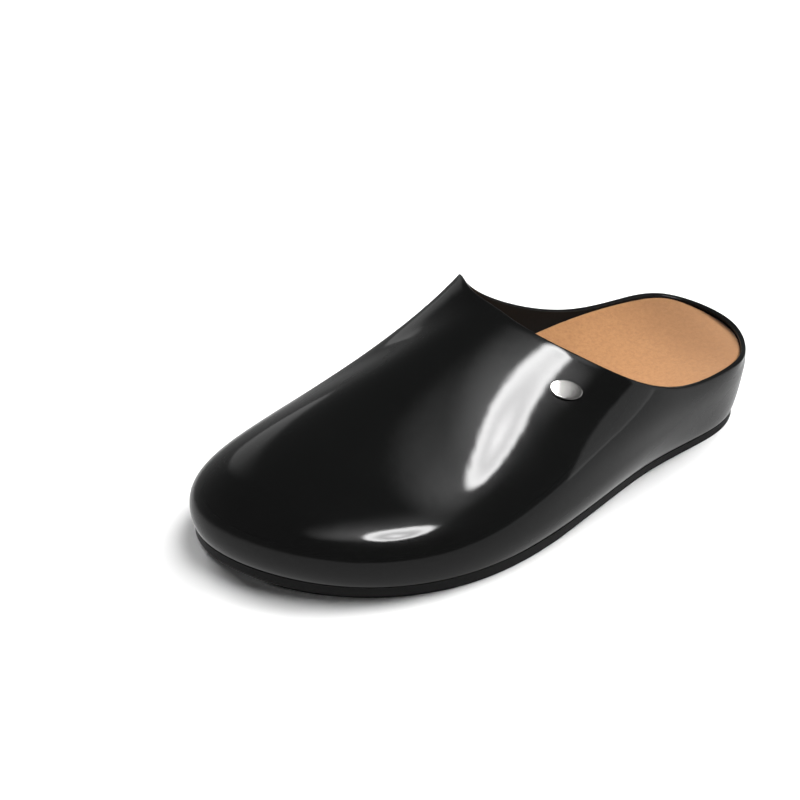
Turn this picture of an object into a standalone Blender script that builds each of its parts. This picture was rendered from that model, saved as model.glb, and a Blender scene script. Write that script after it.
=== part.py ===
"""House slipper, left shoe: a polished leather clog with a closed round toe and an open back.

Metres, +Z up. The toe points to -Y, the outer side of the foot is at +X, and the sole stands on Z = 0.
Sizes are named in millimetres. "along" runs from the back of the heel to the toe, and "across" is
positive on the outer side. A station counts sections round the shoe, from the heel's back by the
outer side to the toe and back by the inner side.
"""
import bmesh
import bpy
import numpy as np
from mathutils import Vector
from mathutils.bvhtree import BVHTree

MM = 0.001
NAME = "house_slipper"

# Driving sizes of the last, in millimetres
LENGTH = 282.0
BALL_WIDTH = 120.5
INSTEP_HEIGHT = 88.5
HEEL_HEIGHT = 43.5

# Thicknesses and fits, in millimetres
WALL = 2.4
GAP = 0.3
RIM_ROUND = 0.8
RIM_PARTS = 2
SOLE_BEVEL = 0.8
BED_BEVEL = 1.0

# Underside of the outsole: flat at heel and forefoot, raised at the waist and the toe
ARCH_HEIGHT = 0.4
ARCH_FROM = 90.0
ARCH_TO = 150.0
TOE_SPRING = 2.0
SPRING_FROM = 250.0

# Dish of the footbed below its edges: deep in the heel cup, shallow under the ball
DISH_HEEL = 5.0
DISH_BALL = 2.0
DISH_FADE_FROM = 60.0
DISH_FADE_TO = 190.0
DISH_END = 45.0

# Sections round the shoe. Each wall line rises from the seam, rolls out to the belly, its widest
# point, and then runs in one curve to the collar.
#   along, top_along     % of LENGTH, at the belly and at the collar
#   across, top_across   % of BALL_WIDTH
#   belly, bed           % of INSTEP_HEIGHT, height of the belly and of the footbed's edge
#   tuck                 mm, how far the seam lies inside the belly
#   lean                 degrees, how far the wall still leans outwards at the belly
#   seam                 mm, height of the upper's lower edge
#   lift                 height of the collar, 0 at HEEL_HEIGHT and 1 at INSTEP_HEIGHT
#   rise                 how far the wall climbs straight up, in parts of its height
#   reach, slope         length and angle in degrees of the wall's run into the collar
COLUMNS = ("along", "across", "belly", "tuck", "lean", "seam", "top_along", "top_across", "lift",
           "rise", "reach", "slope", "bed")
SECTIONS = {
    "heel_back":     (  0.0,   1.0, 32, 3.4,  0, 4.4,  1.5,   1.0, 0.00, 0.50, 0.30, 70, 45),
    "corner_outer":  (  4.2,  19.8, 32, 4.4,  7, 4.4,  4.8,  21.5,-0.01, 0.45, 0.30, 74, 46.5),
    "heel_outer":    ( 12.6,  30.0, 32, 6.5, 14, 4.4, 10.6,  31.0, 0.01, 0.40, 0.30, 80, 47.5),
    "quarter_outer": ( 26.2,  36.5, 28, 7.0, 10, 4.6, 21.2,  36.5, 0.07, 0.40, 0.30, 84, 44),
    "waist_outer":   ( 43.4,  48.0, 23, 4.5,  0, 5.2, 32.3,  39.0, 0.38, 0.50, 0.40, 58, 34),
    "ball_outer":    ( 65.6,  56.0, 18, 1.5,  0, 5.8, 39.9,  25.5, 0.64, 0.41, 0.41, 43, 22),
    "toe_outer":     ( 87.4,  38.0, 18, 2.0,  0, 5.8, 44.9,   7.5, 0.80, 0.46, 0.41, 29, 17),
    "toe_tip":       (100.0,  -6.0, 18, 2.0,  0, 7.0, 47.6,  -6.5, 0.93, 0.55, 0.43, 20, 16),
    "toe_inner":     ( 91.9, -40.0, 17, 2.0,  0, 6.0, 49.0, -18.0, 1.00, 0.30, 0.34, 40, 17),
    "ball_inner":    ( 70.7, -44.0, 18, 3.0,  0, 5.8, 47.4, -31.5, 0.96, 0.34, 0.42, 46, 22),
    "waist_inner":   ( 49.5, -34.0, 23, 5.0,  6, 5.2, 40.9, -38.0, 0.51, 0.45, 0.40, 58, 38),
    "quarter_inner": ( 29.3, -30.5, 28, 6.0, 16, 4.6, 25.6, -36.2, 0.06, 0.40, 0.30, 80, 47),
    "heel_inner":    ( 13.6, -29.5, 32, 6.5, 16, 4.4, 12.4, -32.4, 0.03, 0.40, 0.30, 78, 49.5),
    "corner_inner":  (  4.3, -19.0, 32, 4.2,  8, 4.4,  5.0, -22.6, 0.03, 0.45, 0.30, 74, 49.5),
}

# Roll of the wall from the seam to the belly: how it sets out, in parts of the tuck and of the
# height, and how it comes upright below the belly
ROLL_OUT = 0.3
ROLL_UP = 0.12
ROLL_HANDLE = 0.55

# Fineness of the meshes: lines round the shoe (an even number) and rows up the wall
AROUND = 84
ROLL_ROWS = 6
WALL_ROWS = 8
RUNG_PARTS = 6
BED_ROWS = 6
SEARCH_ROWS = 120

# Angles in degrees: edges above the first are shaded sharp, and above the second get the rim's round
SHARP_EDGE = 40.0
RIM_EDGE = 60.0

# Small steps used to find directions on the table's curves, in parts of a section and of a wall line
STEP = 0.01

# Levels of the wall that reach furthest out, used to find the middle of the shoe's box
WIDE_LEVELS = (-0.3, 0.0, 0.3)

# Oval stud on the outer side below the collar: its place, and its size in millimetres
STUD_SECTION = "ball_outer"
STUD_UP = 0.86
STUD_LENGTH = 15.0
STUD_WIDTH = 9.0
STUD_HEIGHT = 1.8
STUD_ROUND = 0.7
STUD_SIDES = 32
STUD_RINGS = 3
STUD_REACH = 10.0

# Finishes: colour, roughness, metallic
LEATHER = ("polished_leather", (0.006, 0.007, 0.0065), 0.12, 0.0)
RUBBER = ("black_rubber", (0.012, 0.012, 0.012), 0.6, 0.0)
SUEDE = ("tan_suede", (0.60, 0.32, 0.145), 0.85, 0.0)
NICKEL = ("nickel", (0.62, 0.60, 0.57), 0.22, 1.0)


def unit(vectors):
    """Vectors brought to length one."""
    return vectors / np.linalg.norm(vectors, axis=-1, keepdims=True)


def smooth_step(x):
    """From 0 to 1 with level ends."""
    x = np.clip(x, 0.0, 1.0)
    return x * x * (3.0 - 2.0 * x)


def bezier(p0, p1, p2, p3, t):
    """Point at t on a cubic curve from p0 to p3."""
    s = 1.0 - t
    return s**3 * p0 + 3.0 * s * s * t * p1 + 3.0 * s * t * t * p2 + t**3 * p3


def closed_spline(rows, stations):
    """Smooth closed curve through the rows, read at the stations."""
    count = len(rows)
    turn = np.roll(np.eye(count), 1, axis=0)
    steps = 3.0 * (np.roll(rows, -1, axis=0) - np.roll(rows, 1, axis=0))
    slopes = np.linalg.solve(4.0 * np.eye(count) + turn + turn.T, steps)
    first = np.floor(stations).astype(int)
    t = (stations - first)[:, None]
    a = first % count
    b = (first + 1) % count
    return bezier(rows[a], rows[a] + slopes[a] / 3.0, rows[b] - slopes[b] / 3.0, rows[b], t)


def section_sizes(stations):
    """The table's columns at the stations, turned into millimetres, radians and shares."""
    table = np.array(list(SECTIONS.values()), float)
    read = closed_spline(table, stations)
    size = dict(zip(COLUMNS, read.T))
    for column in ("along", "top_along"):
        size[column] = size[column] * LENGTH / 100.0
    for column in ("across", "top_across"):
        size[column] = size[column] * BALL_WIDTH / 100.0
    for column in ("belly", "bed"):
        size[column] = size[column] * INSTEP_HEIGHT / 100.0
    size["collar"] = HEEL_HEIGHT + size["lift"] * (INSTEP_HEIGHT - HEEL_HEIGHT)
    for column in ("lean", "slope"):
        size[column] = np.radians(size[column])
    return size


def outline_normals(stations):
    """Plan direction that points out of the shoe's outline."""
    after = section_sizes(stations + STEP)
    before = section_sizes(stations - STEP)
    tangent = np.column_stack([after["along"] - before["along"], after["across"] - before["across"]])
    tangent = unit(tangent)
    return np.column_stack([-tangent[:, 1], tangent[:, 0], np.zeros(len(stations))])


def seam_points(stations, inset=0.0):
    """Lower edge of the upper, moved in by the inset."""
    size = section_sizes(stations)
    belly = np.column_stack([size["along"], size["across"], size["seam"]])
    return belly - (size["tuck"] + inset)[:, None] * outline_normals(stations)


def wall_points(stations, up):
    """Outer face of the upper. up is -1 at the seam, 0 at the belly and 1 at the collar."""
    size = section_sizes(stations)
    out = outline_normals(stations)
    vertical = np.array([0.0, 0.0, 1.0])
    seam = seam_points(stations)
    belly = np.column_stack([size["along"], size["across"], size["belly"]])
    collar = np.column_stack([size["top_along"], size["top_across"], size["collar"]])
    stand = out * np.sin(size["lean"])[:, None] + vertical * np.cos(size["lean"])[:, None]
    if up < 0.0:
        roll = (size["belly"] - size["seam"])[:, None]
        flare = out * (size["tuck"] * ROLL_OUT)[:, None] + vertical * roll * ROLL_UP
        return bezier(seam, seam + flare, belly - stand * roll * ROLL_HANDLE, belly, up + 1.0)
    run = collar - belly
    height = run[:, 2]
    inward = unit(run * np.array([1.0, 1.0, 0.0]))
    climb = stand * (size["rise"] * height)[:, None]
    lean = inward * np.cos(size["slope"])[:, None] + vertical * np.sin(size["slope"])[:, None]
    lean = lean * (size["reach"] * np.linalg.norm(run, axis=1))[:, None]
    return bezier(belly, belly + climb, collar - lean, collar, up)


def wall_normals(stations, up):
    """Direction out of the upper's outer face."""
    low = max(up - STEP, -1.0)
    high = min(up + STEP, 1.0)
    round_shoe = wall_points(stations + STEP, up) - wall_points(stations - STEP, up)
    up_wall = wall_points(stations, high) - wall_points(stations, low)
    return unit(np.cross(up_wall, round_shoe))


def underside(along):
    """Height of the outsole's tread face."""
    arch = np.sin(np.pi * np.clip((along - ARCH_FROM) / (ARCH_TO - ARCH_FROM), 0.0, 1.0)) ** 2
    spring = smooth_step((along - SPRING_FROM) / (LENGTH - SPRING_FROM))
    return ARCH_HEIGHT * arch + TOE_SPRING * spring


def dish(along, share):
    """How far the footbed lies below its edges; share runs over its width from 0 to 1."""
    fade = smooth_step((along - DISH_FADE_FROM) / (DISH_FADE_TO - DISH_FADE_FROM))
    ends = smooth_step(along / DISH_END) * smooth_step((LENGTH - along) / DISH_END)
    bowl = 4.0 * share * (1.0 - share)
    return (DISH_HEEL + (DISH_BALL - DISH_HEEL) * fade) * ends * bowl


def all_stations():
    """Evenly spaced stations round the shoe."""
    return np.arange(AROUND) * len(SECTIONS) / AROUND


def plan_centre():
    """Middle of the shoe's box in plan: along, across."""
    plan = np.vstack([wall_points(all_stations(), up)[:, :2] for up in WIDE_LEVELS])
    return (plan.min(axis=0) + plan.max(axis=0)) / 2.0


def in_metres(points):
    """Points given as along, across, height, placed in the part's own frame."""
    centre = plan_centre()
    x = points[:, 1] - centre[1]
    y = centre[0] - points[:, 0]
    return np.column_stack([x, y, points[:, 2]]) * MM


def principled(finish):
    """Material with one Principled BSDF."""
    name, colour, roughness, metallic = finish
    material = bpy.data.materials.new(name)
    material.use_nodes = True
    shader = material.node_tree.nodes["Principled BSDF"]
    shader.inputs["Base Color"].default_value = (*colour, 1.0)
    shader.inputs["Roughness"].default_value = roughness
    shader.inputs["Metallic"].default_value = metallic
    return material


def object_from(bm, name, finish, collection, parent):
    """Mesh object from a bmesh, with its material, in the part's collection."""
    mesh = bpy.data.meshes.new(name)
    bm.to_mesh(mesh)
    bm.free()
    mesh.shade_smooth()
    mesh.set_sharp_from_angle(angle=np.radians(SHARP_EDGE))
    mesh.materials.append(principled(finish))
    obj = bpy.data.objects.new(name, mesh)
    obj.parent = parent
    collection.objects.link(obj)
    return obj


def add_ring(bm, points):
    """Vertices for one line round the shoe."""
    return [bm.verts.new(point) for point in in_metres(points)]


def bridge(bm, lower, upper):
    """Faces between two lines round the shoe."""
    for i in range(len(lower)):
        j = (i + 1) % len(lower)
        bm.faces.new((lower[i], upper[i], upper[j], lower[j]))


def close_with_rungs(bm, ring, points, height):
    """Close a ring by rungs from its outer to its inner side; height gives a rung point's level."""
    half = len(ring) // 2
    shares = np.linspace(0.0, 1.0, RUNG_PARTS + 1)[1:-1]
    previous = [ring[0]] * (RUNG_PARTS + 1)
    for i in range(1, half + 1):
        j = len(ring) - i
        if i < half:
            inner = np.array([points[i] + (points[j] - points[i]) * share for share in shares])
            inner[:, 2] = height(inner, shares)
            rung = [ring[i]] + add_ring(bm, inner) + [ring[j]]
        else:
            rung = [ring[half]] * (RUNG_PARTS + 1)
        for k in range(RUNG_PARTS):
            corners = (previous[k], previous[k + 1], rung[k + 1], rung[k])
            bm.faces.new(list(dict.fromkeys(corners)))
        previous = rung


def make_upper(collection, parent):
    """Hollow leather wall: an open sheet thickened inwards, its rims rounded."""
    stations = all_stations()
    roll_levels = np.linspace(-1.0, 0.0, ROLL_ROWS + 1)[:-1]
    wall_levels = np.linspace(0.0, 1.0, WALL_ROWS + 1)
    bm = bmesh.new()
    rings = [add_ring(bm, wall_points(stations, up)) for up in (*roll_levels, *wall_levels)]
    for lower, upper in zip(rings, rings[1:]):
        bridge(bm, lower, upper)
    obj = object_from(bm, "upper", LEATHER, collection, parent)
    wall = obj.modifiers.new("wall", "SOLIDIFY")
    wall.thickness = WALL * MM
    wall.offset = -1.0
    wall.use_even_offset = True
    rim = obj.modifiers.new("rim", "BEVEL")
    rim.width = RIM_ROUND * MM
    rim.segments = RIM_PARTS
    rim.limit_method = "ANGLE"
    rim.angle_limit = np.radians(RIM_EDGE)
    return obj


def make_outsole(collection, parent):
    """Rubber sole under the seam line, with a bevelled tread edge."""
    stations = all_stations()
    top = seam_points(stations)
    top[:, 2] -= GAP
    side = top.copy()
    side[:, 2] = underside(top[:, 0]) + SOLE_BEVEL
    tread = seam_points(stations, SOLE_BEVEL)
    tread[:, 2] = underside(tread[:, 0])
    bm = bmesh.new()
    rings = [add_ring(bm, points) for points in (tread, side, top)]
    bridge(bm, rings[0], rings[1])
    bridge(bm, rings[1], rings[2])
    close_with_rungs(bm, rings[0], tread, lambda rung, shares: underside(rung[:, 0]))
    close_with_rungs(bm, rings[2], top, lambda rung, shares: rung[:, 2])
    bmesh.ops.recalc_face_normals(bm, faces=bm.faces)
    return object_from(bm, "outsole", RUBBER, collection, parent)


def lining_lines(stations, depth):
    """The wall lines from seam to collar, moved inwards by the depth: one line for each station."""
    levels = np.linspace(-1.0, 1.0, SEARCH_ROWS)
    rows = [wall_points(stations, up) - depth * wall_normals(stations, up) for up in levels]
    return np.array(rows).transpose(1, 0, 2)


def bed_side_rings(stations):
    """Rings of the footbed's side, from just above the seam's edge to its top edge."""
    bed = section_sizes(stations)["bed"]
    lines = []
    for line, top in zip(lining_lines(stations, WALL + GAP), bed):
        heights = np.linspace(line[0, 2] + GAP, top - BED_BEVEL, BED_ROWS)
        along = np.interp(heights, line[:, 2], line[:, 0])
        across = np.interp(heights, line[:, 2], line[:, 1])
        lines.append(np.column_stack([along, across, heights]))
    return np.array(lines).transpose(1, 0, 2)


def make_insole(collection, parent):
    """Footbed: stands on the outsole, follows the lining, and is dished on top."""
    stations = all_stations()
    side = bed_side_rings(stations)
    shoulder = side[0] - GAP * outline_normals(stations)
    base = shoulder.copy()
    base[:, 2] = section_sizes(stations)["seam"]
    edge = side[-1] - BED_BEVEL * outline_normals(stations)
    edge[:, 2] += BED_BEVEL
    bm = bmesh.new()
    rings = [add_ring(bm, points) for points in (base, shoulder, *side, edge)]
    for lower, upper in zip(rings, rings[1:]):
        bridge(bm, lower, upper)
    close_with_rungs(bm, rings[0], base, lambda rung, shares: rung[:, 2])
    close_with_rungs(bm, rings[-1], edge, lambda rung, shares: rung[:, 2] - dish(rung[:, 0], shares))
    bmesh.ops.recalc_face_normals(bm, faces=bm.faces)
    return object_from(bm, "insole", SUEDE, collection, parent)


def make_stud(collection, parent, upper):
    """Low oval stud that follows the upper's surface, a gap above it."""
    station = np.array([float(list(SECTIONS).index(STUD_SECTION))])
    centre = Vector(in_metres(wall_points(station, STUD_UP))[0])
    normal = wall_normals(station, STUD_UP)[0]
    normal = Vector((normal[1], -normal[0], normal[2]))
    along_collar = in_metres(wall_points(station + STEP, STUD_UP))[0] - np.array(centre)
    long_way = Vector(along_collar).normalized()
    short_way = normal.cross(long_way).normalized()
    graph = bpy.context.evaluated_depsgraph_get()
    surface = BVHTree.FromObject(upper, graph)
    bm = bmesh.new()
    bmesh.ops.create_cone(bm, cap_ends=True, segments=STUD_SIDES, radius1=1.0, radius2=1.0, depth=1.0)
    bmesh.ops.translate(bm, verts=bm.verts, vec=(0.0, 0.0, 0.5))
    bmesh.ops.scale(bm, verts=bm.verts, vec=(STUD_LENGTH / 2.0, STUD_WIDTH / 2.0, STUD_HEIGHT))
    top_edges = [e for e in bm.edges if all(v.co.z > STUD_HEIGHT / 2.0 for v in e.verts)]
    bmesh.ops.bevel(bm, geom=top_edges, offset=STUD_ROUND, segments=STUD_RINGS, profile=0.5, affect="EDGES")
    caps = [f for f in bm.faces if len(f.verts) > 4]
    bmesh.ops.poke(bm, faces=caps)
    for vert in bm.verts:
        start = centre + (long_way * vert.co.x + short_way * vert.co.y + normal * STUD_REACH) * MM
        hit = surface.ray_cast(start, -normal)[0]
        vert.co = hit + normal * (vert.co.z + GAP) * MM
    bmesh.ops.recalc_face_normals(bm, faces=bm.faces)
    return object_from(bm, "stud", NICKEL, collection, parent)


def main():
    """Clear the scene and build the slipper."""
    for obj in list(bpy.data.objects):
        bpy.data.objects.remove(obj, do_unlink=True)
    collection = bpy.data.collections.new(NAME)
    bpy.context.scene.collection.children.link(collection)
    root = bpy.data.objects.new(NAME, None)
    collection.objects.link(root)
    make_outsole(collection, root)
    upper = make_upper(collection, root)
    make_insole(collection, root)
    bpy.context.view_layer.update()
    make_stud(collection, root, upper)


main()
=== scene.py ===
"""Looks of the house slipper: polished black leather, tan suede footbed, black rubber sole, nickel stud.

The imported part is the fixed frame. Each piece is made again from the part's own table of sections, with
finer meshes, rounded rims and procedural materials. Sizes are named in millimetres.
"""

import bmesh
import bpy
import numpy as np
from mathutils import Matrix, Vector
from mathutils.bvhtree import BVHTree


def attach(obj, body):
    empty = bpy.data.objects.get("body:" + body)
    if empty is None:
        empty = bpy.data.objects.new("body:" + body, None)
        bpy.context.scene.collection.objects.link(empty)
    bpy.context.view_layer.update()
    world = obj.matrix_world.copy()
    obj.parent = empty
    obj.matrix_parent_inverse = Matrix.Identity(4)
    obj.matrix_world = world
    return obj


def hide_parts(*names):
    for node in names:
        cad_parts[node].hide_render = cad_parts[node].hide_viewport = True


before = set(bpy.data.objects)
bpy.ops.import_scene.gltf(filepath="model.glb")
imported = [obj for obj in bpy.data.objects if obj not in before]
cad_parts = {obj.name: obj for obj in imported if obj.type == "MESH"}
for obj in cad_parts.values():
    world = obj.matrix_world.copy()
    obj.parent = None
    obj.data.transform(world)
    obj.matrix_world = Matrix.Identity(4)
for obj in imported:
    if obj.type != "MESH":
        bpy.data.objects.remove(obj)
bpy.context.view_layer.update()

MM = 0.001

# Driving sizes of the last, as in the part
LENGTH = 282.0
BALL_WIDTH = 120.5
INSTEP_HEIGHT = 88.5
HEEL_HEIGHT = 43.5

# Thicknesses and fits, as in the part
WALL = 2.4
GAP = 0.3

# Underside of the outsole and dish of the footbed, as in the part
ARCH_HEIGHT = 0.4
ARCH_FROM = 90.0
ARCH_TO = 150.0
TOE_SPRING = 2.0
SPRING_FROM = 250.0
DISH_HEEL = 5.0
DISH_BALL = 2.0
DISH_FADE_FROM = 60.0
DISH_FADE_TO = 190.0
DISH_END = 45.0

# Sections round the shoe, as in the part
COLUMNS = ("along", "across", "belly", "tuck", "lean", "seam", "top_along", "top_across", "lift",
           "rise", "reach", "slope", "bed")
SECTIONS = {
    "heel_back":     (  0.0,   1.0, 32, 3.4,  0, 4.4,  1.5,   1.0, 0.00, 0.50, 0.30, 70, 45),
    "corner_outer":  (  4.2,  19.8, 32, 4.4,  7, 4.4,  4.8,  21.5,-0.01, 0.45, 0.30, 74, 46.5),
    "heel_outer":    ( 12.6,  30.0, 32, 6.5, 14, 4.4, 10.6,  31.0, 0.01, 0.40, 0.30, 80, 47.5),
    "quarter_outer": ( 26.2,  36.5, 28, 7.0, 10, 4.6, 21.2,  36.5, 0.07, 0.40, 0.30, 84, 44),
    "waist_outer":   ( 43.4,  48.0, 23, 4.5,  0, 5.2, 32.3,  39.0, 0.38, 0.50, 0.40, 58, 34),
    "ball_outer":    ( 65.6,  56.0, 18, 1.5,  0, 5.8, 39.9,  25.5, 0.64, 0.41, 0.41, 43, 22),
    "toe_outer":     ( 87.4,  38.0, 18, 2.0,  0, 5.8, 44.9,   7.5, 0.80, 0.46, 0.41, 29, 17),
    "toe_tip":       (100.0,  -6.0, 18, 2.0,  0, 7.0, 47.6,  -6.5, 0.93, 0.55, 0.43, 20, 16),
    "toe_inner":     ( 91.9, -40.0, 17, 2.0,  0, 6.0, 49.0, -18.0, 1.00, 0.30, 0.34, 40, 17),
    "ball_inner":    ( 70.7, -44.0, 18, 3.0,  0, 5.8, 47.4, -31.5, 0.96, 0.34, 0.42, 46, 22),
    "waist_inner":   ( 49.5, -34.0, 23, 5.0,  6, 5.2, 40.9, -38.0, 0.51, 0.45, 0.40, 58, 38),
    "quarter_inner": ( 29.3, -30.5, 28, 6.0, 16, 4.6, 25.6, -36.2, 0.06, 0.40, 0.30, 80, 47),
    "heel_inner":    ( 13.6, -29.5, 32, 6.5, 16, 4.4, 12.4, -32.4, 0.03, 0.40, 0.30, 78, 49.5),
    "corner_inner":  (  4.3, -19.0, 32, 4.2,  8, 4.4,  5.0, -22.6, 0.03, 0.45, 0.30, 74, 49.5),
}

# Roll of the wall from the seam to the belly, as in the part: how it sets out, in parts of the tuck and of
# the height, and how it comes upright below the belly
ROLL_OUT = 0.3
ROLL_UP = 0.12
ROLL_HANDLE = 0.55

# Small step that finds directions on the table's curves, in parts of a section and of a wall line
STEP = 0.01

# Levels of the wall that reach furthest out and lines round the shoe that find the middle of its box
WIDE_LEVELS = (-0.3, 0.0, 0.3)
PLAN_LINES = 84

# Fineness of the meshes: lines round the shoe (an even number) and rows
AROUND = 336
ROLL_ROWS = 40
WALL_ROWS = 60
RIM_ROWS = 4
BED_ROWS = 14
BED_EDGE_ROWS = 6
RUNG_PARTS = 36
SEARCH_ROWS = 120
SOLE_ROWS = 6
SOLE_EDGE_ROWS = 4

# Rounds of the visible edges, in millimetres: rim and lower edge of the upper, tread edge of the outsole
# and top edge of the footbed
RIM_ROUND = 0.7
EDGE_ROUND = 0.3
SOLE_ROUND = 0.4
BED_ROUND = 1.0

# How close to the outsole's sharp top edge the lines beside it run, in millimetres
SOLE_CRISP = 0.1

# Darkest and lightest tint of each material
LEATHER_TINTS = ((0.0010, 0.0012, 0.0011, 1.0), (0.0020, 0.0022, 0.0021, 1.0))
LINING_TINTS = ((0.001, 0.001, 0.001, 1.0), (0.002, 0.002, 0.002, 1.0))
SUEDE_TINTS = ((0.280, 0.130, 0.048, 1.0), (0.400, 0.199, 0.079, 1.0))
SPECKLE_TINTS = ((0.205, 0.091, 0.033, 1.0), (0.300, 0.143, 0.055, 1.0))
RUBBER_TINTS = ((0.002, 0.002, 0.002, 1.0), (0.005, 0.005, 0.005, 1.0))
NICKEL_TINTS = ((0.21, 0.206, 0.20, 1.0), (0.28, 0.276, 0.27, 1.0))
FLOOR_TINTS = ((0.83, 0.83, 0.83, 1.0), (0.85, 0.85, 0.85, 1.0))

# Tint of the sheen on the suede's nap
NAP_TINT = (1.0, 0.86, 0.70, 1.0)

# Painted shade at the suede's heel end: where it starts and is full, in metres along the shoe, its share and
# its tint
HEEL_SHADE_FROM = 0.07
HEEL_SHADE_TO = 0.13
HEEL_SHADE_SHARE = 0.6
HEEL_SHADE_TINT = (0.140, 0.064, 0.026, 1.0)

# Oval stud, as in the part, with a finer round and a shallow crown
STUD_SECTION = "ball_outer"
STUD_UP = 0.86
STUD_LENGTH = 15.0
STUD_WIDTH = 9.0
STUD_HEIGHT = 1.8
STUD_CROWN = 0.15
STUD_ROUND = 0.7
STUD_SIDES = 96
STUD_RINGS = 14
STUD_REACH = 10.0

# Camera at the photo's angle: degrees, millimetres, and the lens for a 36 mm wide sensor
CAMERA_AZIMUTH = 59.6
CAMERA_ELEVATION = 33.4
CAMERA_DISTANCE = 980.0
CAMERA_TARGET = (-53.9, -18.5, 20.5)
CAMERA_LENS = 93.15
SENSOR = 36.0

# Card on the floor that only the gloss mirrors, pale round the shoe and dark farther out: its place, its half
# size and the half sizes of its pale middle in metres, where the fade to dark ends in parts of the middle's
# size, and both greys
CARD_PLACE = (0.01, 0.01, 0.001)
CARD_HALF = 3.0
CARD_MIDDLE = (0.14, 0.19)
CARD_FADE = 1.25
CARD_PALE = 1.0
CARD_DARK = 0.30

# Oval light panels that only the gloss mirrors: place, half width and half length in metres, tilt and turn in
# degrees, radiance, share of the half sizes over which the edge fades, and how dark the rings are
GLOSS_LIGHTS = {
    "strip":      ((0.051, -0.005, 0.12), (0.039, 0.013), 0.0, -34.0, 46.0, 0.25, 0.3),
    "strip_halo": ((0.030, -0.006, 0.121), (0.040, 0.020), 0.0, -34.0, 2.6, 1.0, 0.0),
    "halo":       ((0.13, -0.005, 0.30), (0.13, 0.07), 0.0, 0.0, 2.7, 1.0, 0.0),
    "dish":       ((0.217, -0.122, 0.20), (0.052, 0.073), 0.0, 8.0, 44.0, 0.15, 0.5),
    "dish_halo":  ((0.19, -0.19, 0.21), (0.08, 0.22), 0.0, 8.0, 3.0, 1.0, 0.0),
    "reflector":  ((0.12, 0.20, 0.05), (0.15, 0.135), 90.0, 0.0, 1.18, 0.06, 0.0),
    "ridge":      ((-2.55, 0.22, 0.30), (0.26, 2.5), 0.0, 78.0, 0.9, 0.15, 0.0),
}

# Oval light panels that light the matte surfaces alone, with the same columns
MATTE_LIGHTS = {
    "key":  ((0.19, 1.56, 1.23), (0.42, 0.42), 52.0, 83.0, 26.0, 0.3, 0.0),
    "top":  ((-0.15, 0.86, 1.80), (0.9, 0.9), 26.0, 100.0, 10.5, 0.3, 0.0),
    "side": ((-1.81, -0.16, 0.85), (0.6, 0.6), 65.0, 185.0, 13.0, 0.3, 0.0),
}

# Distance between the rings of a light, as a share of its half size
RING_STEP = 0.8

# Strength of the even surroundings
WORLD_STRENGTH = 0.30

# Floor, in metres from its middle to its edges
FLOOR_HALF = 12.0


def unit(vectors):
    """Vectors brought to length one."""
    return vectors / np.linalg.norm(vectors, axis=-1, keepdims=True)


def smooth_step(x):
    """From 0 to 1 with level ends."""
    x = np.clip(x, 0.0, 1.0)
    return x * x * (3.0 - 2.0 * x)


def bezier(p0, p1, p2, p3, t):
    """Point at t on a cubic curve from p0 to p3."""
    s = 1.0 - t
    return s**3 * p0 + 3.0 * s * s * t * p1 + 3.0 * s * t * t * p2 + t**3 * p3


def closed_spline(rows, stations):
    """Smooth closed curve through the rows, read at the stations."""
    count = len(rows)
    turn = np.roll(np.eye(count), 1, axis=0)
    steps = 3.0 * (np.roll(rows, -1, axis=0) - np.roll(rows, 1, axis=0))
    slopes = np.linalg.solve(4.0 * np.eye(count) + turn + turn.T, steps)
    first = np.floor(stations).astype(int)
    t = (stations - first)[:, None]
    a = first % count
    b = (first + 1) % count
    return bezier(rows[a], rows[a] + slopes[a] / 3.0, rows[b] - slopes[b] / 3.0, rows[b], t)


def section_sizes(stations):
    """The table's columns at the stations, turned into millimetres, radians and shares."""
    table = np.array(list(SECTIONS.values()), float)
    read = closed_spline(table, stations)
    size = dict(zip(COLUMNS, read.T))
    for column in ("along", "top_along"):
        size[column] = size[column] * LENGTH / 100.0
    for column in ("across", "top_across"):
        size[column] = size[column] * BALL_WIDTH / 100.0
    for column in ("belly", "bed"):
        size[column] = size[column] * INSTEP_HEIGHT / 100.0
    size["collar"] = HEEL_HEIGHT + size["lift"] * (INSTEP_HEIGHT - HEEL_HEIGHT)
    for column in ("lean", "slope"):
        size[column] = np.radians(size[column])
    return size


def outline_normals(stations):
    """Plan direction that points out of the shoe's outline."""
    after = section_sizes(stations + STEP)
    before = section_sizes(stations - STEP)
    tangent = np.column_stack([after["along"] - before["along"], after["across"] - before["across"]])
    tangent = unit(tangent)
    return np.column_stack([-tangent[:, 1], tangent[:, 0], np.zeros(len(stations))])


def seam_points(stations, inset=0.0):
    """Lower edge of the upper, moved in by the inset."""
    size = section_sizes(stations)
    belly = np.column_stack([size["along"], size["across"], size["seam"]])
    return belly - (size["tuck"] + inset)[:, None] * outline_normals(stations)


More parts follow.
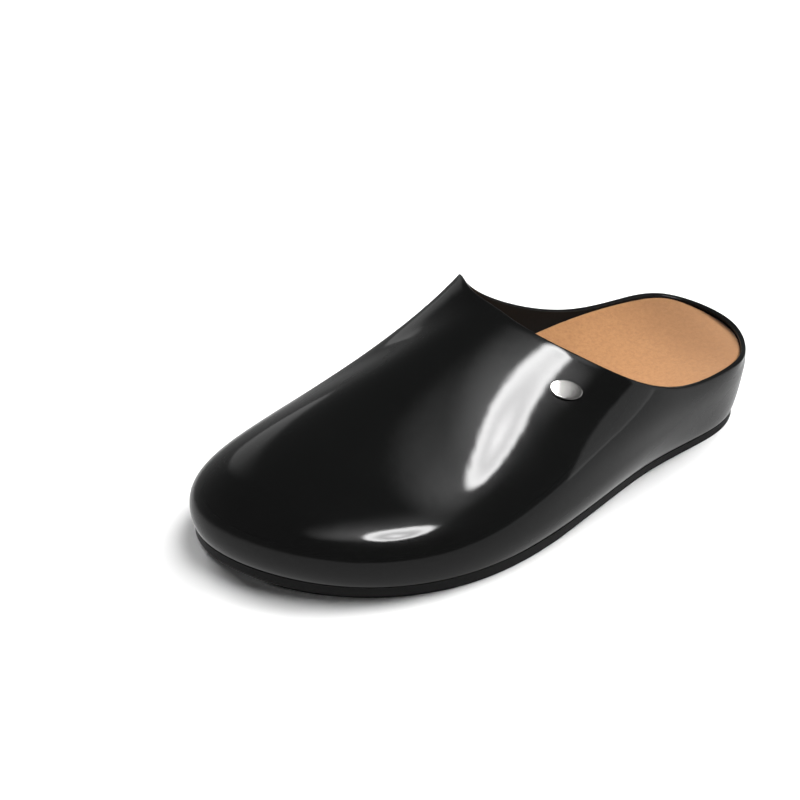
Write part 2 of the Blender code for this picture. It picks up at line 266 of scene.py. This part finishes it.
def wall_points(stations, up):
    """Outer face of the upper. up is -1 at the seam, 0 at the belly and 1 at the collar; it may be a
    number for all stations or one for each, all of one sign."""
    size = section_sizes(stations)
    out = outline_normals(stations)
    vertical = np.array([0.0, 0.0, 1.0])
    t = np.broadcast_to(up, len(stations))[:, None]
    seam = seam_points(stations)
    belly = np.column_stack([size["along"], size["across"], size["belly"]])
    collar = np.column_stack([size["top_along"], size["top_across"], size["collar"]])
    stand = out * np.sin(size["lean"])[:, None] + vertical * np.cos(size["lean"])[:, None]
    if t.min() < 0.0:
        roll = (size["belly"] - size["seam"])[:, None]
        flare = out * (size["tuck"] * ROLL_OUT)[:, None] + vertical * roll * ROLL_UP
        return bezier(seam, seam + flare, belly - stand * roll * ROLL_HANDLE, belly, t + 1.0)
    run = collar - belly
    height = run[:, 2]
    inward = unit(run * np.array([1.0, 1.0, 0.0]))
    climb = stand * (size["rise"] * height)[:, None]
    lean = inward * np.cos(size["slope"])[:, None] + vertical * np.sin(size["slope"])[:, None]
    lean = lean * (size["reach"] * np.linalg.norm(run, axis=1))[:, None]
    return bezier(belly, belly + climb, collar - lean, collar, t)


def wall_directions(stations, up):
    """Out of the upper's outer face, and up along it."""
    low = np.maximum(up - STEP, -1.0)
    high = np.minimum(up + STEP, 1.0)
    round_shoe = wall_points(stations + STEP, up) - wall_points(stations - STEP, up)
    up_wall = unit(wall_points(stations, high) - wall_points(stations, low))
    return unit(np.cross(up_wall, round_shoe)), up_wall


def underside(along):
    """Height of the outsole's tread face."""
    arch = np.sin(np.pi * np.clip((along - ARCH_FROM) / (ARCH_TO - ARCH_FROM), 0.0, 1.0)) ** 2
    spring = smooth_step((along - SPRING_FROM) / (LENGTH - SPRING_FROM))
    return ARCH_HEIGHT * arch + TOE_SPRING * spring


def dish(along, share):
    """How far the footbed lies below its edges; share runs over its width from 0 to 1."""
    fade = smooth_step((along - DISH_FADE_FROM) / (DISH_FADE_TO - DISH_FADE_FROM))
    ends = smooth_step(along / DISH_END) * smooth_step((LENGTH - along) / DISH_END)
    bowl = 4.0 * share * (1.0 - share)
    return (DISH_HEEL + (DISH_BALL - DISH_HEEL) * fade) * ends * bowl


def even_stations(count):
    """Evenly spaced stations round the shoe."""
    return np.arange(count) * len(SECTIONS) / count


def plan_centre():
    """Middle of the shoe's box in plan: along, across."""
    plan = np.vstack([wall_points(even_stations(PLAN_LINES), up)[:, :2] for up in WIDE_LEVELS])
    return (plan.min(axis=0) + plan.max(axis=0)) / 2.0


CENTRE = plan_centre()
STATIONS = even_stations(AROUND)


def in_metres(points):
    """Points given as along, across, height, placed in the part's frame."""
    x = points[:, 1] - CENTRE[1]
    y = CENTRE[0] - points[:, 0]
    return np.column_stack([x, y, points[:, 2]]) * MM


def add_ring(bm, points):
    """Vertices for one line round the shoe."""
    return [bm.verts.new(point) for point in in_metres(points)]


def bridge(bm, lower, upper, slot=0):
    """Faces between two lines round the shoe."""
    for i in range(len(lower)):
        j = (i + 1) % len(lower)
        face = bm.faces.new((lower[i], upper[i], upper[j], lower[j]))
        face.material_index = slot


def close_with_rungs(bm, ring, points, height):
    """Close a ring by rungs from its outer to its inner side; height gives a rung point's level."""
    half = len(ring) // 2
    shares = np.linspace(0.0, 1.0, RUNG_PARTS + 1)[1:-1]
    previous = [ring[0]] * (RUNG_PARTS + 1)
    for i in range(1, half + 1):
        j = len(ring) - i
        if i < half:
            inner = points[i] + (points[j] - points[i]) * shares[:, None]
            inner[:, 2] = height(inner, shares)
            rung = [ring[i]] + add_ring(bm, inner) + [ring[j]]
        else:
            rung = [ring[half]] * (RUNG_PARTS + 1)
        for k in range(RUNG_PARTS):
            corners = (previous[k], previous[k + 1], rung[k + 1], rung[k])
            bm.faces.new(list(dict.fromkeys(corners)))
        previous = rung


def piece_from(bm, name, materials, node):
    """Smooth mesh piece that rides with the shoe and stands for a node of the part."""
    bmesh.ops.recalc_face_normals(bm, faces=bm.faces)
    mesh = bpy.data.meshes.new(name)
    bm.to_mesh(mesh)
    bm.free()
    mesh.shade_smooth()
    for material in materials:
        mesh.materials.append(material)
    obj = bpy.data.objects.new(name, mesh)
    bpy.context.scene.collection.objects.link(obj)
    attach(obj, "root")
    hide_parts(node)
    return obj


class Shader:
    """A material's node tree with short calls to add and join nodes."""

    def __init__(self, name):
        self.material = bpy.data.materials.new(name)
        self.material.use_nodes = True
        self.tree = self.material.node_tree
        self.bsdf = self.tree.nodes["Principled BSDF"]
        self.place = self.add("ShaderNodeTexCoord").outputs["Object"]

    def add(self, kind, inputs=None, **settings):
        """New node, with its settings and with values or links for its inputs."""
        node = self.tree.nodes.new(kind)
        for key, value in settings.items():
            setattr(node, key, value)
        for key, value in (inputs or {}).items():
            self.put(node, key, value)
        return node

    def put(self, node, key, value):
        """Set one input to a value, or link it from another node's output."""
        if isinstance(value, bpy.types.NodeSocket):
            self.tree.links.new(value, node.inputs[key])
        else:
            node.inputs[key].default_value = value

    def surface(self, **values):
        """Inputs of the Principled BSDF; an underscore stands for a space."""
        for key, value in values.items():
            self.put(self.bsdf, key.replace("_", " "), value)

    def noise(self, per_metre, detail=2.0, roughness=0.5):
        """Noise over the piece's own coordinates, from 0 to 1."""
        inputs = {"Vector": self.place, "Scale": per_metre, "Detail": detail, "Roughness": roughness}
        return self.add("ShaderNodeTexNoise", inputs).outputs["Fac"]

    def spread(self, value, low, high, to_low=0.0, to_high=1.0, smooth=False):
        """Value mapped from one range to another, clamped, or with level ends if smooth."""
        inputs = {"Value": value, "From Min": low, "From Max": high, "To Min": to_low, "To Max": to_high}
        kind = "SMOOTHSTEP" if smooth else "LINEAR"
        return self.add("ShaderNodeMapRange", inputs, interpolation_type=kind).outputs["Result"]

    def math(self, operation, first, second=0.0):
        """Result of one operation on two values."""
        return self.add("ShaderNodeMath", {0: first, 1: second}, operation=operation).outputs["Value"]

    def finish_with(self, node):
        """Show another shader in place of the Principled BSDF."""
        self.tree.links.new(node.outputs[0], self.tree.nodes["Material Output"].inputs["Surface"])
        self.tree.nodes.remove(self.bsdf)

    def mix(self, factor, first, second):
        """Colour mixed between two colours."""
        node = self.add("ShaderNodeMix", data_type="RGBA")
        self.put(node, 0, factor)
        self.put(node, 6, first)
        self.put(node, 7, second)
        return node.outputs[2]

    def bump(self, height, distance, strength=1.0, below=None):
        """Normal bumped by a height, over another bump if one is given."""
        inputs = {"Height": height, "Distance": distance, "Strength": strength}
        if below is not None:
            inputs["Normal"] = below
        return self.add("ShaderNodeBump", inputs).outputs["Normal"]


def polished_leather():
    """Near-black leather under a clear gloss, with a slight ripple and fine pores."""
    shader = Shader("polished_leather")
    ripple = shader.noise(per_metre=55.0)
    pores = shader.noise(per_metre=2600.0)
    cloud = shader.noise(per_metre=38.0, detail=3.0)
    tint = shader.mix(cloud, *LEATHER_TINTS)
    normal = shader.bump(ripple, distance=0.00012)
    normal = shader.bump(pores, distance=0.000006, below=normal)
    shader.surface(Base_Color=tint, Roughness=shader.spread(cloud, 0.3, 0.7, 0.24, 0.30), Normal=normal)
    shader.surface(Specular_IOR_Level=0.02, Coat_Weight=0.45, Coat_Roughness=0.07, Coat_Normal=normal)
    return shader.material


def lining_leather():
    """Matte black lining with a visible fine grain."""
    shader = Shader("lining_leather")
    grain = shader.noise(per_metre=1500.0, detail=3.0)
    cloud = shader.noise(per_metre=60.0)
    tint = shader.mix(cloud, *LINING_TINTS)
    normal = shader.bump(grain, distance=0.00012, strength=0.6)
    shader.surface(Base_Color=tint, Roughness=shader.spread(grain, 0.3, 0.7, 0.42, 0.6), Normal=normal)
    shader.surface(Specular_IOR_Level=0.15)
    return shader.material


def tan_suede():
    """Tan suede with a short nap: fine fibres, brushed speckles, soft patches, and painted shade that
    darkens the heel end."""
    shader = Shader("tan_suede")
    fibre = shader.noise(per_metre=3000.0, detail=3.0, roughness=0.65)
    speckle = shader.noise(per_metre=520.0, detail=5.0, roughness=0.75)
    patch = shader.noise(per_metre=60.0, detail=3.0, roughness=0.6)
    along = shader.add("ShaderNodeSeparateXYZ", {"Vector": shader.place}).outputs["Y"]
    # Mask for painted shade: the suede darkens towards the heel end
    heel_shade = shader.spread(along, HEEL_SHADE_FROM, HEEL_SHADE_TO, 0.0, HEEL_SHADE_SHARE, smooth=True)
    light = shader.mix(fibre, *SUEDE_TINTS)
    dark = shader.mix(fibre, *SPECKLE_TINTS)
    brushed = shader.spread(speckle, 0.30, 0.60)
    soft = shader.spread(patch, 0.3, 0.7, 0.8, 1.0)
    tint = shader.mix(shader.math("MULTIPLY", brushed, soft), dark, light)
    # Painted shade: the heel end is mixed towards a darker tint
    tint = shader.mix(heel_shade, tint, HEEL_SHADE_TINT)
    normal = shader.bump(speckle, distance=0.00020, strength=0.6)
    normal = shader.bump(fibre, distance=0.00012, strength=0.6, below=normal)
    shader.surface(Base_Color=tint, Roughness=0.9, Normal=normal)
    shader.surface(Sheen_Weight=0.2, Sheen_Roughness=0.5, Sheen_Tint=NAP_TINT)
    return shader.material


def black_rubber():
    """Matte black rubber with a fine moulded grain."""
    shader = Shader("black_rubber")
    grain = shader.noise(per_metre=1800.0)
    dust = shader.noise(per_metre=90.0, detail=4.0)
    tint = shader.mix(dust, *RUBBER_TINTS)
    normal = shader.bump(grain, distance=0.00010, strength=0.6)
    shader.surface(Base_Color=tint, Roughness=shader.spread(grain, 0.3, 0.7, 0.5, 0.68), Normal=normal)
    shader.surface(Specular_IOR_Level=0.12)
    return shader.material


def satin_nickel():
    """Nickel with a satin polish and a few fine rub marks."""
    shader = Shader("satin_nickel")
    rub = shader.noise(per_metre=900.0, detail=3.0)
    cloud = shader.noise(per_metre=260.0)
    tint = shader.mix(cloud, *NICKEL_TINTS)
    normal = shader.bump(rub, distance=0.00002, strength=0.5)
    shader.surface(Base_Color=tint, Metallic=1.0, Normal=normal)
    shader.surface(Roughness=shader.spread(rub, 0.3, 0.7, 0.10, 0.16))
    return shader.material


def level_near(end, distance):
    """Levels at a distance from an end of the wall lines (-1 or 1), one for each station."""
    inside = end * (1.0 - STEP)
    speed = np.linalg.norm(wall_points(STATIONS, end) - wall_points(STATIONS, inside), axis=1) / STEP
    return end * (1.0 - distance / speed)


def wall_edge(level, way, radius):
    """Lines over an edge of the wall from its outer to its inner face; way is 1 at the collar and -1 at the
    seam."""
    face = wall_points(STATIONS, level)
    normal, up_wall = wall_directions(STATIONS, level)
    lines = []
    for depth, turned in ((radius, 0.0), (WALL - radius, np.pi / 2.0)):
        for angle in turned + np.linspace(0.0, np.pi / 2.0, RIM_ROWS + 1):
            bend = normal * np.cos(angle) + way * up_wall * np.sin(angle)
            lines.append(face - depth * normal + radius * bend)
    return lines[1:-1]


def make_upper():
    """Leather wall: outer face, rounded collar rim, lining face with the second material, and rounded lower
    edge."""
    low = level_near(-1.0, EDGE_ROUND)
    high = level_near(1.0, RIM_ROUND)
    levels = [share * low for share in np.linspace(1.0, 0.0, ROLL_ROWS + 1)[:-1]]
    levels += [share * high for share in np.linspace(0.0, 1.0, WALL_ROWS + 1)]
    outer = []
    inner = []
    for level in levels:
        face = wall_points(STATIONS, level)
        normal, _ = wall_directions(STATIONS, level)
        outer.append(face)
        inner.append(face - WALL * normal)
    bm = bmesh.new()
    rim = wall_edge(high, 1.0, RIM_ROUND)
    lower_edge = wall_edge(low, -1.0, EDGE_ROUND)
    loop = [add_ring(bm, points) for points in outer + rim + inner[::-1] + lower_edge[::-1]]
    lining = range(len(outer) + 2 * RIM_ROWS, len(loop) - 2 * RIM_ROWS)
    for k, lower in enumerate(loop):
        bridge(bm, lower, loop[(k + 1) % len(loop)], slot=1 if k in lining else 0)
    return piece_from(bm, "upper_leather", [LEATHER, LINING], "upper")


def make_outsole():
    """Rubber sole: rounded tread edge, plain side and crisp top edge."""
    rings = []
    for angle in np.linspace(0.0, np.pi / 2.0, SOLE_EDGE_ROWS + 1):
        points = seam_points(STATIONS, SOLE_ROUND * (1.0 - np.sin(angle)))
        points[:, 2] = underside(points[:, 0]) + SOLE_ROUND * (1.0 - np.cos(angle))
        rings.append(points)
    top = seam_points(STATIONS)
    top[:, 2] -= GAP
    low = rings[-1]
    below_top = top - np.array([0.0, 0.0, SOLE_CRISP])
    for share in np.linspace(0.0, 1.0, SOLE_ROWS + 1)[1:]:
        rings.append(low + (below_top - low) * share)
    rings.append(top)
    rings.append(top - SOLE_CRISP * outline_normals(STATIONS))
    bm = bmesh.new()
    added = [add_ring(bm, points) for points in rings]
    for lower, upper in zip(added, added[1:]):
        bridge(bm, lower, upper)
    close_with_rungs(bm, added[0], rings[0], lambda rung, shares: underside(rung[:, 0]))
    close_with_rungs(bm, added[-1], rings[-1], lambda rung, shares: rung[:, 2])
    return piece_from(bm, "outsole_rubber", [RUBBER], "outsole")


def lining_lines(depth):
    """The wall lines from seam to collar, moved inwards by the depth: one line for each station."""
    rows = []
    for up in np.linspace(-1.0, 1.0, SEARCH_ROWS):
        normal, _ = wall_directions(STATIONS, up)
        rows.append(wall_points(STATIONS, up) - depth * normal)
    return np.array(rows).transpose(1, 0, 2)


def make_insole():
    """Footbed: follows the lining, rounded at its top edge and dished."""
    bed = section_sizes(STATIONS)["bed"]
    out = outline_normals(STATIONS)
    lines = []
    for line, top in zip(lining_lines(WALL + GAP), bed):
        heights = np.linspace(line[0, 2] + GAP, top - BED_ROUND, BED_ROWS)
        along = np.interp(heights, line[:, 2], line[:, 0])
        across = np.interp(heights, line[:, 2], line[:, 1])
        lines.append(np.column_stack([along, across, heights]))
    side = list(np.array(lines).transpose(1, 0, 2))
    shoulder = side[0] - GAP * out
    base = shoulder.copy()
    base[:, 2] = section_sizes(STATIONS)["seam"]
    rings = [base, shoulder] + side
    for angle in np.linspace(0.0, np.pi / 2.0, BED_EDGE_ROWS + 1)[1:]:
        points = side[-1] - BED_ROUND * (1.0 - np.cos(angle)) * out
        points[:, 2] += BED_ROUND * np.sin(angle)
        rings.append(points)
    bm = bmesh.new()
    added = [add_ring(bm, points) for points in rings]
    for lower, upper in zip(added, added[1:]):
        bridge(bm, lower, upper)
    close_with_rungs(bm, added[0], base, lambda rung, shares: rung[:, 2])
    close_with_rungs(bm, added[-1], rings[-1], lambda rung, shares: rung[:, 2] - dish(rung[:, 0], shares))
    return piece_from(bm, "insole_suede", [SUEDE], "insole")


def stud_profile():
    """Share of the stud's half size and height above the leather, from its foot over its edge to the top."""
    shoulder = STUD_HEIGHT - STUD_CROWN - STUD_ROUND
    rows = [(1.0, 0.0, 0.0), (1.0, 0.0, shoulder)]
    for angle in np.linspace(0.0, np.pi / 2.0, STUD_RINGS // 2)[1:]:
        rows.append((1.0, STUD_ROUND * (1.0 - np.cos(angle)), shoulder + STUD_ROUND * np.sin(angle)))
    for share in np.linspace(0.0, 1.0, STUD_RINGS // 2)[1:-1]:
        rows.append((1.0 - share, STUD_ROUND, STUD_HEIGHT - STUD_CROWN * (1.0 - share) ** 2))
    return rows


def make_stud(upper):
    """Low oval stud with a rounded edge and a shallow crown, that follows the leather a gap above it."""
    station = np.array([float(list(SECTIONS).index(STUD_SECTION))])
    centre = Vector(in_metres(wall_points(station, STUD_UP))[0])
    along, across, height = wall_directions(station, STUD_UP)[0][0]
    normal = Vector((across, -along, height))
    beside = Vector(in_metres(wall_points(station + STEP, STUD_UP))[0])
    long_way = (beside - centre).normalized()
    short_way = normal.cross(long_way).normalized()
    surface = BVHTree.FromObject(upper, bpy.context.evaluated_depsgraph_get())
    bm = bmesh.new()

    def placed(x, y, height):
        """Vertex at x, y on the leather, lifted by a height."""
        start = centre + (long_way * x + short_way * y + normal * STUD_REACH) * MM
        hit = surface.ray_cast(start, -normal)[0]
        return bm.verts.new(hit + normal * (height + GAP) * MM)

    turns = np.arange(STUD_SIDES) * 2.0 * np.pi / STUD_SIDES
    rings = []
    for share, inset, height in stud_profile():
        half_length = share * (STUD_LENGTH / 2.0 - inset)
        half_width = share * (STUD_WIDTH / 2.0 - inset)
        rings.append([placed(half_length * np.cos(a), half_width * np.sin(a), height) for a in turns])
    for lower, upper_ring in zip(rings, rings[1:]):
        bridge(bm, lower, upper_ring)
    for ring, height in ((rings[0], 0.0), (rings[-1], STUD_HEIGHT)):
        tip = placed(0.0, 0.0, height)
        for i in range(STUD_SIDES):
            bm.faces.new((ring[i], ring[(i + 1) % STUD_SIDES], tip))
    return piece_from(bm, "stud_nickel", [NICKEL], "stud")


def direction(azimuth, elevation):
    """Direction by azimuth (0 to the toe's side, 90 to the outer side) and elevation, in degrees."""
    a = np.radians(azimuth)
    e = np.radians(elevation)
    return Vector((np.sin(a) * np.cos(e), -np.cos(a) * np.cos(e), np.sin(e)))


def make_camera():
    """Camera at the photo's angle to the shoe."""
    data = bpy.data.cameras.new("camera")
    data.lens = CAMERA_LENS
    data.sensor_width = SENSOR
    camera = bpy.data.objects.new("camera", data)
    back = direction(CAMERA_AZIMUTH, CAMERA_ELEVATION)
    camera.location = (Vector(CAMERA_TARGET) + back * CAMERA_DISTANCE) * MM
    camera.rotation_mode = "QUATERNION"
    camera.rotation_quaternion = (-back).to_track_quat("-Z", "Y")
    bpy.context.scene.collection.objects.link(camera)
    bpy.context.scene.camera = camera


def stage_panel(name, half_width, half_length, material):
    """Flat panel of the studio, not part of the object; its own coordinates run from -1 to 1."""
    bm = bmesh.new()
    bmesh.ops.create_grid(bm, x_segments=1, y_segments=1, size=1.0)
    mesh = bpy.data.meshes.new(name)
    bm.to_mesh(mesh)
    bm.free()
    mesh.materials.append(material)
    panel = bpy.data.objects.new(name, mesh)
    panel.scale = (half_width, half_length, 1.0)
    bpy.context.scene.collection.objects.link(panel)
    return panel


def glow(name, radiance, soft, rings):
    """Light of a round panel that fades over a share of its half sizes, darker in a ring by a share."""
    shader = Shader(name)
    reach = shader.add("ShaderNodeVectorMath", {0: shader.place}, operation="LENGTH").outputs["Value"]
    fade = shader.spread(reach, 1.0, 1.0 - soft, 0.0, radiance, smooth=True)
    wave = shader.math("COSINE", shader.math("MULTIPLY", reach, 2.0 * np.pi / RING_STEP))
    ringed = shader.spread(wave, -1.0, 1.0, 1.0 - rings, 1.0)
    strength = shader.math("MULTIPLY", fade, ringed)
    emission = shader.add("ShaderNodeEmission", {"Strength": strength})
    clear = shader.add("ShaderNodeBsdfTransparent")
    shader.finish_with(shader.add("ShaderNodeAddShader", {0: emission.outputs[0], 1: clear.outputs[0]}))
    return shader.material


def hide_from(panel, *paths):
    """Leave a panel out of these kinds of light path."""
    for path in paths:
        setattr(panel, "visible_" + path, False)


def make_light(unlit, name, place, half_sizes, tilt, turn, radiance, soft, rings):
    """Oval panel of light, level at first, then tilted about its length and turned. unlit is the kind of
    light path that it leaves out, besides the camera's and shadows."""
    panel = stage_panel(name, *half_sizes, glow(name, radiance, soft, rings))
    panel.location = place
    panel.rotation_euler = (0.0, np.radians(tilt), np.radians(turn))
    hide_from(panel, "camera", "shadow", unlit)


def make_card():
    """Card on the floor, pale round the shoe and dark farther out, that only the gloss mirrors."""
    shader = Shader("card")
    stretch = [CARD_HALF / half for half in CARD_MIDDLE] + [0.0]
    stretched = shader.add("ShaderNodeVectorMath", {0: shader.place, 1: stretch}, operation="MULTIPLY")
    inputs = {0: stretched.outputs["Vector"]}
    reach = shader.add("ShaderNodeVectorMath", inputs, operation="LENGTH").outputs["Value"]
    grey = shader.spread(reach, 1.0, CARD_FADE, CARD_PALE, CARD_DARK, smooth=True)
    shader.finish_with(shader.add("ShaderNodeEmission", {"Strength": grey}))
    panel = stage_panel("card", CARD_HALF, CARD_HALF, shader.material)
    panel.location = CARD_PLACE
    hide_from(panel, "camera", "shadow", "diffuse")


def make_floor():
    """Plain pale floor."""
    bm = bmesh.new()
    bmesh.ops.create_grid(bm, x_segments=8, y_segments=8, size=FLOOR_HALF)
    mesh = bpy.data.meshes.new("floor")
    bm.to_mesh(mesh)
    bm.free()
    shader = Shader("pale_floor")
    cloud = shader.noise(per_metre=3.0)
    shader.surface(Base_Color=shader.mix(cloud, *FLOOR_TINTS))
    shader.surface(Roughness=0.8, Specular_IOR_Level=0.2)
    mesh.materials.append(shader.material)
    floor = bpy.data.objects.new("floor", mesh)
    bpy.context.scene.collection.objects.link(floor)


def make_world():
    """Dim even surroundings."""
    world = bpy.data.worlds.new("studio")
    world.use_nodes = True
    background = world.node_tree.nodes["Background"]
    background.inputs["Color"].default_value = (1.0, 1.0, 1.0, 1.0)
    background.inputs["Strength"].default_value = WORLD_STRENGTH
    world.cycles_visibility.diffuse = False
    bpy.context.scene.world = world


LEATHER = polished_leather()
LINING = lining_leather()
SUEDE = tan_suede()
RUBBER = black_rubber()
NICKEL = satin_nickel()

upper_piece = make_upper()
make_outsole()
make_insole()
make_stud(upper_piece)
make_camera()
make_floor()
make_world()
make_card()
for light, row in GLOSS_LIGHTS.items():
    make_light("diffuse", light, *row)
for light, row in MATTE_LIGHTS.items():
    make_light("glossy", light, *row)
bpy.context.scene.view_settings.view_transform = "Standard"
